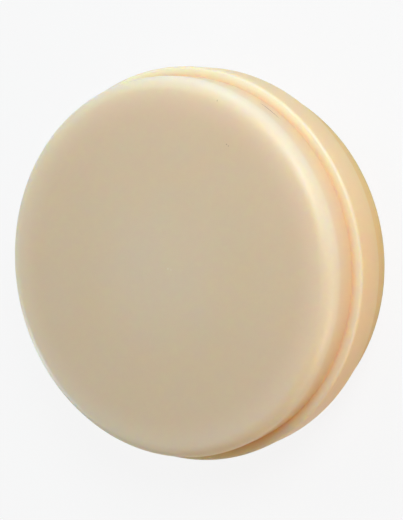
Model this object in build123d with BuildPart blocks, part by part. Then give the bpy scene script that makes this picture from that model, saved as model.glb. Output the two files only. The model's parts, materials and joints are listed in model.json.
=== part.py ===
from build123d import *
import os

# A dental milling disc: a solid puck of tooth-coloured resin, pressed and turned as one piece.
# A collar runs round its middle for the milling machine's ring, and a boss of the material to be
# milled stands above and below it. The disc lies on its lower face. The origin is the middle of
# that face, and +Z is the disc's axis. Sizes are in millimetres.

# The collar, the only part that the machine holds
collar_diameter = 98.5
collar_height = 10.0
collar_edge_radius = 0.7

# The flat step on each side of the collar, and the corner where a boss rises from it
shoulder_width = 2.5
root_radius = 0.3

# The two bosses, both as wide as the shoulders leave them
upper_boss_height = 10.0
lower_boss_height = 10.0

# The upper face meets its wall in a broad soft round, the lower face in a smaller one
upper_edge_radius = 3.5
lower_edge_radius = 1.5

# Distances from the axis, and levels above the lower face
collar_radius = collar_diameter / 2
boss_radius = collar_radius - shoulder_width
lower_shoulder_z = lower_boss_height
upper_shoulder_z = lower_shoulder_z + collar_height
upper_face_z = upper_shoulder_z + upper_boss_height

# The disc is its own half section turned once round the axis
with BuildPart() as milling_disc:
    with BuildSketch(Plane.XZ) as half_section:
        # Both bosses are one core from face to face, and the collar is a band round it
        Rectangle(boss_radius, upper_face_z, align=Align.MIN)
        with Locations((0, lower_shoulder_z)):
            Rectangle(collar_radius, collar_height, align=Align.MIN)

        # The two inner corners, between the core's lower and upper ones
        core_corners = half_section.vertices().group_by(Axis.X)[1].sort_by(Axis.Y)
        fillet(core_corners[1:-1], radius=root_radius)

        # The collar's two corners lie furthest out, the faces' two lowest and highest
        fillet(half_section.vertices().group_by(Axis.X)[-1], radius=collar_edge_radius)
        fillet(
            half_section.vertices().group_by(Axis.Y)[0].sort_by(Axis.X)[-1],
            radius=lower_edge_radius,
        )
        fillet(
            half_section.vertices().group_by(Axis.Y)[-1].sort_by(Axis.X)[-1],
            radius=upper_edge_radius,
        )
    revolve(axis=Axis.Z)

milling_disc.part.label = "milling_disc"
os.makedirs("parts", exist_ok=True)
export_step(milling_disc.part, "parts/milling_disc.step")
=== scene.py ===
import bpy
import json
import math
from mathutils import Matrix, Vector


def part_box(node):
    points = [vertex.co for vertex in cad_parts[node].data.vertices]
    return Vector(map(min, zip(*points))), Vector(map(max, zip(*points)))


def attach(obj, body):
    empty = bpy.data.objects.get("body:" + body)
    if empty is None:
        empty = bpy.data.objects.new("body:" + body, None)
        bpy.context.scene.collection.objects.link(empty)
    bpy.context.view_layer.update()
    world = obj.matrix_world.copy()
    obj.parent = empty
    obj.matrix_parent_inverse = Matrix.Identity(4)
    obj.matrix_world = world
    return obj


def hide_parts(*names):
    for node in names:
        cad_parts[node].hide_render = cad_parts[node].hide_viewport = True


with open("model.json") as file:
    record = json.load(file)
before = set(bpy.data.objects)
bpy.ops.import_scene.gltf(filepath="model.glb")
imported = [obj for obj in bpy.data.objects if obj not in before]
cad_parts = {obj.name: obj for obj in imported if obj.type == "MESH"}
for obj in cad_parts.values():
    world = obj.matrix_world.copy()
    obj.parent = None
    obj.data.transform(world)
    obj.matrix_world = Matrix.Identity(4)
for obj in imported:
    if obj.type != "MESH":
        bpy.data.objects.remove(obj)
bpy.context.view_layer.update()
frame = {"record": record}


# The disc. One puck of acrylic resin, pressed in a mould and then turned to size, so that it is a
# solid of revolution: a collar for the machine's ring, and above and below it a boss of the stock
# that is milled. The resin is cream, lets light some millimetres in, and has a satin skin.

mm_per_metre = 1000
mounts = {mount["name"]: mount for mount in frame["record"]["mounts"]}
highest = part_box("milling_disc")[1]
collar_radius = mounts["collar"]["dims"]["r_mm"] / mm_per_metre
boss_radius = mounts["upper_boss"]["dims"]["r_mm"] / mm_per_metre
lower_shoulder_z = mounts["lower_shoulder"]["pos_m"][2]
upper_shoulder_z = mounts["upper_shoulder"]["pos_m"][2]
upper_face_z = highest.z
upper_edge_radius = 0.0035
lower_edge_radius = 0.0015
collar_edge_radius = 0.0007
root_radius = 0.0003
round_steps = 10
ring_spacing = 0.001
turn_steps = 256
seam_gap = 0.000001

turning = bpy.data.node_groups.new("turned_disc", "GeometryNodeTree")
turning.interface.new_socket("Geometry", in_out="OUTPUT", socket_type="NodeSocketGeometry")
disc_sizes = {
    "Collar Radius": collar_radius,
    "Boss Radius": boss_radius,
    "Lower Shoulder": lower_shoulder_z,
    "Upper Shoulder": upper_shoulder_z,
    "Upper Face": upper_face_z,
    "Collar Edge": collar_edge_radius,
    "Shoulder Root": root_radius,
    "Upper Edge": upper_edge_radius,
    "Lower Edge": lower_edge_radius,
    "Ring Spacing": ring_spacing,
}
disc_sockets = {}
for name in disc_sizes:
    disc_sockets[name] = turning.interface.new_socket(name, socket_type="NodeSocketFloat")
disc_sockets["Turn Steps"] = turning.interface.new_socket("Turn Steps", socket_type="NodeSocketInt")
disc_sockets["Resin"] = turning.interface.new_socket("Resin", socket_type="NodeSocketMaterial")


def add(tree, kind, values=None, **settings):
    """A node of this kind, with its settings, and its inputs set to values or linked to sockets."""
    node = tree.nodes.new(kind)
    for setting, value in settings.items():
        setattr(node, setting, value)
    for key, value in (values or {}).items():
        if isinstance(value, bpy.types.NodeSocket):
            tree.links.new(value, node.inputs[key])
        else:
            node.inputs[key].default_value = value
    return node


def worked_out(tree, operation, *values):
    """The result of a Math node on numbers and sockets."""
    return add(tree, "ShaderNodeMath", dict(enumerate(values)), operation=operation).outputs[0]


def by_index(tree, index, choices):
    """The choice that stands at each point's own index."""
    switch = add(tree, "GeometryNodeIndexSwitch", data_type="FLOAT")
    while len(switch.index_switch_items) < len(choices):
        switch.index_switch_items.new()
    tree.links.new(index, switch.inputs[0])
    for place, choice in enumerate(choices):
        if isinstance(choice, bpy.types.NodeSocket):
            tree.links.new(choice, switch.inputs[place + 1])
        else:
            switch.inputs[place + 1].default_value = choice
    return switch.outputs[0]


given = add(turning, "NodeGroupInput").outputs
index = add(turning, "GeometryNodeInputIndex").outputs[0]
collar, boss = given["Collar Radius"], given["Boss Radius"]
low, high, top = given["Lower Shoulder"], given["Upper Shoulder"], given["Upper Face"]

# The half section's eight corners, from the middle of the lower face out and up to the upper one
corner_radii = [0.0, boss, boss, collar, collar, boss, boss, 0.0]
outwards = by_index(turning, index, corner_radii)
upwards = by_index(turning, index, [0.0, 0.0, low, low, high, high, top, top])
rounds = by_index(
    turning,
    index,
    [
        0.0,
        given["Lower Edge"],
        given["Shoulder Root"],
        given["Collar Edge"],
        given["Collar Edge"],
        given["Shoulder Root"],
        given["Upper Edge"],
        0.0,
    ],
)
corner_place = add(turning, "ShaderNodeCombineXYZ", {"X": outwards, "Z": upwards}).outputs[0]
corners = add(turning, "GeometryNodeMeshLine", {"Count": len(corner_radii)}).outputs[0]
placed = add(turning, "GeometryNodeSetPosition", {"Geometry": corners, "Position": corner_place})
noted = add(
    turning,
    "GeometryNodeStoreNamedAttribute",
    {"Geometry": placed.outputs[0], "Name": "corner_round", "Value": rounds},
    data_type="FLOAT",
    domain="POINT",
)
outline = add(turning, "GeometryNodeMeshToCurve", {"Mesh": noted.outputs[0]}).outputs[0]
corner_round = add(turning, "GeometryNodeInputNamedAttribute", {"Name": "corner_round"})
rounded = add(
    turning,
    "GeometryNodeFilletCurve",
    {"Curve": outline, "Count": round_steps, "Radius": corner_round.outputs[0], "Limit Radius": True},
    mode="POLY",
).outputs[0]

# Long straight runs are cut into short ones, so that each face stays flat up to its round
here = add(turning, "GeometryNodeInputPosition").outputs[0]
next_point = add(turning, "GeometryNodeOffsetPointInCurve", {"Offset": 1}).outputs["Point Index"]
there = add(
    turning, "GeometryNodeFieldAtIndex", {"Index": next_point, "Value": here}, data_type="FLOAT_VECTOR"
).outputs[0]
run = add(turning, "ShaderNodeVectorMath", {0: here, 1: there}, operation="DISTANCE").outputs["Value"]
cuts = worked_out(turning, "FLOOR", worked_out(turning, "DIVIDE", run, given["Ring Spacing"]))
half_section = add(turning, "GeometryNodeSubdivideCurve", {"Curve": rounded, "Cuts": cuts}).outputs[0]

# A sheet with a row for each point of the half section is wrapped once round the axis, which
# leaves its faces pointing inwards, so they are turned over
rows = add(turning, "GeometryNodeAttributeDomainSize", {"Geometry": half_section}, component="CURVE")
columns = worked_out(turning, "ADD", given["Turn Steps"], 1.0)
sheet = add(
    turning,
    "GeometryNodeMeshGrid",
    {"Vertices X": rows.outputs["Point Count"], "Vertices Y": columns},
).outputs[0]
row = worked_out(turning, "FLOOR", worked_out(turning, "DIVIDE", index, columns))
column = worked_out(turning, "FLOORED_MODULO", index, columns)
turn = worked_out(turning, "DIVIDE", worked_out(turning, "MULTIPLY", column, math.tau), given["Turn Steps"])
section_point = add(
    turning,
    "GeometryNodeSampleIndex",
    {"Geometry": half_section, "Value": here, "Index": row},
    data_type="FLOAT_VECTOR",
    domain="POINT",
).outputs[0]
section = add(turning, "ShaderNodeSeparateXYZ", {0: section_point}).outputs
turned_place = add(
    turning,
    "ShaderNodeCombineXYZ",
    {
        "X": worked_out(turning, "MULTIPLY", section["X"], worked_out(turning, "COSINE", turn)),
        "Y": worked_out(turning, "MULTIPLY", section["X"], worked_out(turning, "SINE", turn)),
        "Z": section["Z"],
    },
).outputs[0]
wrapped = add(turning, "GeometryNodeSetPosition", {"Geometry": sheet, "Position": turned_place})
closed = add(
    turning, "GeometryNodeMergeByDistance", {"Geometry": wrapped.outputs[0], "Distance": seam_gap}
)
outward = add(turning, "GeometryNodeFlipFaces", {"Mesh": closed.outputs[0]})
smooth = add(turning, "GeometryNodeSetShadeSmooth", {"Geometry": outward.outputs[0], "Shade Smooth": True})
realized = add(turning, "GeometryNodeRealizeInstances", {"Geometry": smooth.outputs[0]})
coated = add(
    turning, "GeometryNodeSetMaterial", {"Geometry": realized.outputs[0], "Material": given["Resin"]}
)
result = add(turning, "NodeGroupOutput")
turning.links.new(coated.outputs[0], result.inputs["Geometry"])

# Places on the disc, in metres from the middle of its lower face, with their distance from the axis
# and their run along the boss's wall
resin = bpy.data.materials.new("cream_resin")
resin.use_nodes = True
resin_tree = resin.node_tree
place = add(resin_tree, "ShaderNodeTexCoord").outputs["Object"]
along = add(resin_tree, "ShaderNodeSeparateXYZ", {0: place}).outputs
squares = [worked_out(resin_tree, "MULTIPLY", along[axis], along[axis]) for axis in "XY"]
from_axis = worked_out(resin_tree, "SQRT", worked_out(resin_tree, "ADD", *squares))
bearing = worked_out(resin_tree, "ARCTAN2", along["Y"], along["X"])
wall_run = worked_out(resin_tree, "MULTIPLY", bearing, boss_radius)


def eased(tree, value, low, high, start=0.0, stop=1.0):
    """start up to low, stop from high on, and a smooth change between them."""
    ranges = {"Value": value, "From Min": low, "From Max": high, "To Min": start, "To Max": stop}
    return add(tree, "ShaderNodeMapRange", ranges, interpolation_type="SMOOTHSTEP").outputs[0]


def tinted(tree, share, first, second):
    """The first colour, with this share of the second one."""
    return add(tree, "ShaderNodeMix", {0: share, 6: first, 7: second}, data_type="RGBA").outputs[2]


# The resin's colour is paler at the upper face and warmer and darker towards the lower one, which is
# painted shade and a painted glow of light carried through the resin, and it is a little cloudy. The
# flat faces get painted shade, darker and greyer than the walls, and a paler painted highlight in the
# middle. The turned edges get a painted sheen.
upper_shade = (0.82, 0.69, 0.50, 1.0)
middle_shade = (0.88, 0.65, 0.36, 1.0)
lower_shade = (0.90, 0.55, 0.20, 1.0)
painted_face_shade = (0.775, 0.625, 0.41, 1.0)
painted_highlight_shade = (0.79, 0.67, 0.49, 1.0)
painted_sheen_shade = (0.86, 0.78, 0.64, 1.0)
cloud_shade = (0.80, 0.63, 0.43, 1.0)
middle_z = (lower_shoulder_z + upper_shoulder_z) / 2
above_middle = eased(resin_tree, along["Z"], middle_z, upper_face_z)
below_middle = eased(resin_tree, along["Z"], 0.0, middle_z, 1.0, 0.0)
shade = tinted(resin_tree, above_middle, middle_shade, upper_shade)
shade = tinted(resin_tree, below_middle, shade, lower_shade)

# Painted shade: a flat face is darker and greyer inside than the walls, and the painted shade fades out
# over its border and into the round
flat_radius = boss_radius - upper_edge_radius
face_shade_border = 0.007
face_shade_overrun = 0.0022
painted_face_share = eased(resin_tree, from_axis, flat_radius - face_shade_border, flat_radius + face_shade_overrun, 1.0, 0.0)
shade = tinted(resin_tree, painted_face_share, shade, painted_face_shade)
# Painted highlight: a paler patch in the middle of each flat face
painted_highlight_core = 0.004
painted_highlight_radius = 0.026
painted_highlight_share = 0.5
painted_highlight = eased(resin_tree, from_axis, painted_highlight_core, painted_highlight_radius, painted_highlight_share, 0.0)
shade = tinted(resin_tree, painted_highlight, shade, painted_highlight_shade)

# Painted sheen: the upper round is paled between two depths under the face, and this tapers off above
# and below them. A shoulder is paled more towards the collar's edge, and the collar's wall only close to
# that edge.
sheen_bottom = 0.0045
sheen_low = 0.0026
sheen_high = 0.0016
upper_rim = worked_out(
    resin_tree,
    "MULTIPLY",
    eased(resin_tree, along["Z"], upper_face_z - sheen_bottom, upper_face_z - sheen_low),
    eased(resin_tree, along["Z"], upper_face_z - sheen_high, upper_face_z, 1.0, 0.0),
)
off_middle = worked_out(resin_tree, "ABSOLUTE", worked_out(resin_tree, "SUBTRACT", along["Z"], middle_z))
collar_half = (upper_shoulder_z - lower_shoulder_z) / 2
beside_boss = 0.0002
edge_width = 0.001
edge_depth = 0.0008
past_shoulder = 0.0001
collar_rim = worked_out(
    resin_tree,
    "MULTIPLY",
    eased(resin_tree, from_axis, boss_radius + beside_boss, collar_radius - edge_width),
    eased(resin_tree, off_middle, collar_half - edge_depth, collar_half + past_shoulder),
)
painted_sheen_share = 0.6
painted_sheen = worked_out(
    resin_tree, "MULTIPLY", worked_out(resin_tree, "MAXIMUM", upper_rim, collar_rim), painted_sheen_share
)
shade = tinted(resin_tree, painted_sheen, shade, painted_sheen_shade)

noise_middle = 0.5
cloud_size = 0.016
cloud_detail = 2.0
cloud_share = 0.12
cloud_contrast = 0.15
clouds = add(
    resin_tree, "ShaderNodeTexNoise", {"Vector": place, "Scale": 1 / cloud_size, "Detail": cloud_detail}
).outputs[0]
cloudy = eased(
    resin_tree, clouds, noise_middle - cloud_contrast, noise_middle + cloud_contrast, 0.0, cloud_share
)
shade = tinted(resin_tree, cloudy, shade, cloud_shade)

# A mark in the skin is a small ragged spot, and where it is far longer than wide, a hairline. It is
# full within the first of these shares of its reach, and gone past the second.
fade_from = 0.6
fade_to = 1.2
fleck = bpy.data.node_groups.new("fleck", "ShaderNodeTree")
for name in ("Place", "Centre", "Reach"):
    fleck.interface.new_socket(name, socket_type="NodeSocketVector")
for name in ("Raggedness", "Grain Size"):
    fleck.interface.new_socket(name, socket_type="NodeSocketFloat")
fleck.interface.new_socket("Mask", in_out="OUTPUT", socket_type="NodeSocketFloat")
spot = add(fleck, "NodeGroupInput").outputs
offset = add(
    fleck, "ShaderNodeVectorMath", {0: spot["Place"], 1: spot["Centre"]}, operation="SUBTRACT"
).outputs[0]
reaches = add(fleck, "ShaderNodeVectorMath", {0: offset, 1: spot["Reach"]}, operation="DIVIDE").outputs[0]
how_far = add(fleck, "ShaderNodeVectorMath", {0: reaches}, operation="LENGTH").outputs["Value"]
grain_scale = worked_out(fleck, "DIVIDE", 1.0, spot["Grain Size"])
grain = add(fleck, "ShaderNodeTexNoise", {"Vector": offset, "Scale": grain_scale}).outputs[0]
uneven = worked_out(fleck, "SUBTRACT", grain, noise_middle)
ragged = worked_out(fleck, "MULTIPLY_ADD", uneven, spot["Raggedness"], how_far)
fleck_result = add(fleck, "NodeGroupOutput")
fleck.links.new(eased(fleck, ragged, fade_from, fade_to, 1.0, 0.0), fleck_result.inputs["Mask"])


def mark(where, centre, reach, raggedness, grain_size):
    """The mask of one mark on the resin, with its sizes in metres."""
    values = {"Place": where, "Centre": centre, "Reach": reach}
    values |= {"Raggedness": raggedness, "Grain Size": grain_size}
    return add(resin_tree, "ShaderNodeGroup", values, node_tree=fleck).outputs["Mask"]


# The hairline slants across the boss's wall, so its height is counted from a slanted line
hairline_bearing = math.radians(51.8)
hairline_z = 0.02280
hairline_slant = -0.055
hairline_reach = (0.0032, 0.001, 0.00017)
hairline_raggedness = 1.0
hairline_grain = 0.0004
hairline_run = hairline_bearing * boss_radius
hairline_centre = (hairline_run, boss_radius, hairline_z)
along_hairline = worked_out(resin_tree, "SUBTRACT", wall_run, hairline_run)
slant = worked_out(resin_tree, "MULTIPLY", along_hairline, hairline_slant)
levelled = worked_out(resin_tree, "SUBTRACT", along["Z"], slant)
slanted = add(
    resin_tree, "ShaderNodeCombineXYZ", {"X": wall_run, "Y": from_axis, "Z": levelled}
).outputs[0]
hairline = mark(slanted, hairline_centre, hairline_reach, hairline_raggedness, hairline_grain)

# Three dark specks pressed into the upper face, and two pale ones near its middle, each with its
# place and its reach
dark_specks = [
    ((0.01896, 0.03957, upper_face_z), (0.00013, 0.00025, 0.0005)),
    ((0.02091, 0.02937, upper_face_z), (0.00018, 0.00018, 0.0005)),
    ((0.02140, 0.02898, upper_face_z), (0.00018, 0.00014, 0.0005)),
]
pale_specks = [
    ((0.00283, 0.00033, upper_face_z), (0.0003, 0.0003, 0.0005)),
    ((0.00367, 0.00009, upper_face_z), (0.0003, 0.0002, 0.0005)),
]
speck_raggedness = 0.8
speck_grain = 0.0003
dark_speck_share = 0.45
pale_speck_share = 0.3
hairline_share = 0.9
brown = (0.26, 0.14, 0.06, 1.0)
chalk = (0.92, 0.86, 0.74, 1.0)
for centre, reach in dark_specks:
    dark_speck = mark(place, centre, reach, speck_raggedness, speck_grain)
    dark_share = worked_out(resin_tree, "MULTIPLY", dark_speck, dark_speck_share)
    shade = tinted(resin_tree, dark_share, shade, brown)
for centre, reach in pale_specks:
    pale_speck = mark(place, centre, reach, speck_raggedness, speck_grain)
    pale_share = worked_out(resin_tree, "MULTIPLY", pale_speck, pale_speck_share)
    shade = tinted(resin_tree, pale_share, shade, chalk)
shade = tinted(resin_tree, worked_out(resin_tree, "MULTIPLY", hairline, hairline_share), shade, brown)

# Turning leaves rings of uneven lines, which run round the walls and about the faces' middle. The
# skin is satin, with a fine grain, and duller on the faces than on the walls.
line_width = 0.00035
line_detail = 3.0
satin_grain = 0.0002
satin_detail = 2.0
section_place = add(resin_tree, "ShaderNodeCombineXYZ", {"X": from_axis, "Y": along["Z"]}).outputs[0]
rings = add(
    resin_tree,
    "ShaderNodeTexNoise",
    {"Vector": section_place, "Scale": 1 / line_width, "Detail": line_detail},
    noise_dimensions="2D",
).outputs[0]
satin = add(
    resin_tree, "ShaderNodeTexNoise", {"Vector": place, "Scale": 1 / satin_grain, "Detail": satin_detail}
).outputs[0]
wall_skin_start = 0.0445
face_roughness = 0.50
wall_roughness = 0.40
ring_unevenness = 0.12
cloud_unevenness = 0.4
wall_skin = eased(resin_tree, from_axis, wall_skin_start, boss_radius)
roughness = eased(resin_tree, wall_skin, 0.0, 1.0, face_roughness, wall_roughness)
over_rings = worked_out(resin_tree, "SUBTRACT", rings, noise_middle)
roughness = worked_out(resin_tree, "MULTIPLY_ADD", over_rings, ring_unevenness, roughness)
over_clouds = worked_out(resin_tree, "SUBTRACT", cloudy, cloud_share / 2)
roughness = worked_out(resin_tree, "MULTIPLY_ADD", over_clouds, cloud_unevenness, roughness)

# Each relief has its full depth, and the share of it that shows
ring_depth = 0.00001
ring_relief = 0.35
satin_depth = 0.000006
satin_relief = 0.3
hairline_depth = 0.00003
hairline_relief = 1.0
ringed = add(
    resin_tree, "ShaderNodeBump", {"Strength": ring_relief, "Distance": ring_depth, "Height": rings}
).outputs[0]
grained = add(
    resin_tree,
    "ShaderNodeBump",
    {"Strength": satin_relief, "Distance": satin_depth, "Height": satin, "Normal": ringed},
).outputs[0]
scratched = add(
    resin_tree,
    "ShaderNodeBump",
    {"Strength": hairline_relief, "Distance": hairline_depth, "Height": hairline, "Normal": grained},
    invert=True,
).outputs[0]

# How light travels in the resin: red light goes far, and blue light hardly gets in
resin_reach = 0.011
resin_colour_reach = (1.0, 0.65, 0.2)
resin_ior = 1.49
skin = resin_tree.nodes["Principled BSDF"]
skin.subsurface_method = "RANDOM_WALK"
skin.inputs["Subsurface Weight"].default_value = 1.0
skin.inputs["Subsurface Radius"].default_value = resin_colour_reach
skin.inputs["Subsurface Scale"].default_value = resin_reach
skin.inputs["IOR"].default_value = resin_ior
resin_tree.links.new(shade, skin.inputs["Base Color"])
resin_tree.links.new(roughness, skin.inputs["Roughness"])
resin_tree.links.new(scratched, skin.inputs["Normal"])

# The turning is run once and kept as a plain mesh
blank = bpy.data.objects.new("disc_turning", bpy.data.meshes.new("disc_turning"))
bpy.context.scene.collection.objects.link(blank)
turned = blank.modifiers.new("turned_disc", "NODES")
turned.node_group = turning
for name, value in {**disc_sizes, "Turn Steps": turn_steps, "Resin": resin}.items():
    turned[disc_sockets[name].identifier] = value
depsgraph = bpy.context.evaluated_depsgraph_get()
disc_mesh = bpy.data.meshes.new_from_object(blank.evaluated_get(depsgraph), depsgraph=depsgraph)
bpy.data.objects.remove(blank)
disc_mesh.materials.pop(index=0)
disc = bpy.data.objects.new("resin_disc", disc_mesh)
bpy.context.scene.collection.objects.link(disc)
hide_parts("milling_disc")
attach(disc, "root")


# The floor. A plain pale sweep of paper that the disc lies on. The camera and reflections see it
# nearly white, less the disc's soft shadow, and the light that it sends back is that of light grey.

floor_reach = 3.0
floor_corners = [
    (-floor_reach, -floor_reach, 0.0),
    (floor_reach, -floor_reach, 0.0),
    (floor_reach, floor_reach, 0.0),
    (-floor_reach, floor_reach, 0.0),
]
floor_mesh = bpy.data.meshes.new("floor")
floor_mesh.from_pydata(floor_corners, [], [(0, 1, 2, 3)])
floor = bpy.data.objects.new("floor", floor_mesh)
bpy.context.scene.collection.objects.link(floor)

light_grey = (0.60, 0.60, 0.60, 1.0)
paper_roughness = 0.9
white_share = 0.88
paper = bpy.data.materials.new("pale_paper")
paper.use_nodes = True
paper_tree = paper.node_tree
matte = paper_tree.nodes["Principled BSDF"]
matte.inputs["Base Color"].default_value = light_grey
matte.inputs["Roughness"].default_value = paper_roughness
white_glow = add(paper_tree, "ShaderNodeEmission", {"Strength": 1.0})


def looked_at(tree, mirror_share):
    """1 for what the camera sees, mirror_share in a reflection or through glass, 0 for light."""
    path = add(tree, "ShaderNodeLightPath").outputs
    mirrored = worked_out(tree, "MAXIMUM", path["Is Glossy Ray"], path["Is Transmission Ray"])
    mirrored = worked_out(tree, "MULTIPLY", mirrored, mirror_share)
    return worked_out(tree, "MAXIMUM", path["Is Camera Ray"], mirrored)


whitening = worked_out(paper_tree, "MULTIPLY", looked_at(paper_tree, 1.0), white_share)
blend = add(
    paper_tree, "ShaderNodeMixShader", {0: whitening, 1: matte.outputs[0], 2: white_glow.outputs[0]}
)
paper_tree.links.new(blend.outputs[0], paper_tree.nodes["Material Output"].inputs["Surface"])
floor_mesh.materials.append(paper)


# The lights. A near softbox over the disc's upper right as the picture shows it, a faint one above
# it, a cool one over the upper left, and three low ones for the walls: cool at the top and the left,
# and warm at the right. The room is white, half as bright in reflections, and lights hardly at all.


def softbox(name, azimuth, elevation, distance, size, watts, tint):
    """A round area light that faces the disc. Its azimuth is in degrees from +X towards +Y."""
    lamp = bpy.data.lights.new(name, "AREA")
    lamp.shape = "DISK"
    lamp.size = size
    lamp.energy = watts
    lamp.color = tint
    around, above = math.radians(azimuth), math.radians(elevation)
    towards = Vector(
        (math.cos(around) * math.cos(above), math.sin(around) * math.cos(above), math.sin(above))
    )
    box = bpy.data.objects.new(name, lamp)
    box.location = Vector((0.0, 0.0, upper_face_z / 2)) + towards * distance
    box.rotation_euler = towards.to_track_quat("Z", "Y").to_euler()
    bpy.context.scene.collection.objects.link(box)


white = (1.0, 1.0, 1.0)
cool = (0.80, 0.92, 1.0)
cool_white = (0.91, 0.94, 1.0)
warm = (1.0, 0.68, 0.36)
softbox("key_softbox", azimuth=45, elevation=45, distance=0.5, size=0.22, watts=1.75, tint=cool_white)
softbox("front_softbox", azimuth=45, elevation=70, distance=0.9, size=0.4, watts=0.4, tint=white)
softbox("left_softbox", azimuth=135, elevation=45, distance=0.9, size=0.4, watts=1.9, tint=cool)
softbox("low_top_softbox", azimuth=90, elevation=8, distance=0.9, size=0.24, watts=1.6, tint=cool)
softbox("low_right_softbox", azimuth=325, elevation=8, distance=0.9, size=0.24, watts=2.7, tint=warm)
softbox("low_left_softbox", azimuth=202, elevation=8, distance=0.9, size=0.24, watts=3.1, tint=cool)

room_light = 0.01
room_sheen = 0.5
room = bpy.data.worlds.new("white_room")
room.use_nodes = True
room_tree = room.node_tree
room_level = worked_out(room_tree, "MAXIMUM", looked_at(room_tree, room_sheen), room_light)
room_tree.links.new(room_level, room_tree.nodes["Background"].inputs["Strength"])
room_tree.nodes["Background"].inputs["Color"].default_value = (*white, 1.0)
bpy.context.scene.world = room


# The camera. It starts straight above the disc with the picture's right along +X, swings out to
# that side and a little up, and looks at a point close to the middle of the disc.

camera_swing = math.radians(31.65)
camera_lift = math.radians(5.64)
camera_distance = 0.310
camera_aim = Vector((0.0032, 0.0010, 0.0150))
camera_lens = 85.4
nearest_seen = 0.01

camera = bpy.data.objects.new("camera", bpy.data.cameras.new("camera"))
camera.data.lens = camera_lens
turn_to_view = Matrix.Rotation(-camera_lift, 3, "X") @ Matrix.Rotation(camera_swing, 3, "Y")
camera.location = camera_aim + turn_to_view @ Vector((0.0, 0.0, camera_distance))
camera.rotation_euler = turn_to_view.to_euler()
camera.data.clip_start = nearest_seen
bpy.context.scene.collection.objects.link(camera)
bpy.context.scene.camera = camera
bpy.context.scene.view_settings.view_transform = "Standard"
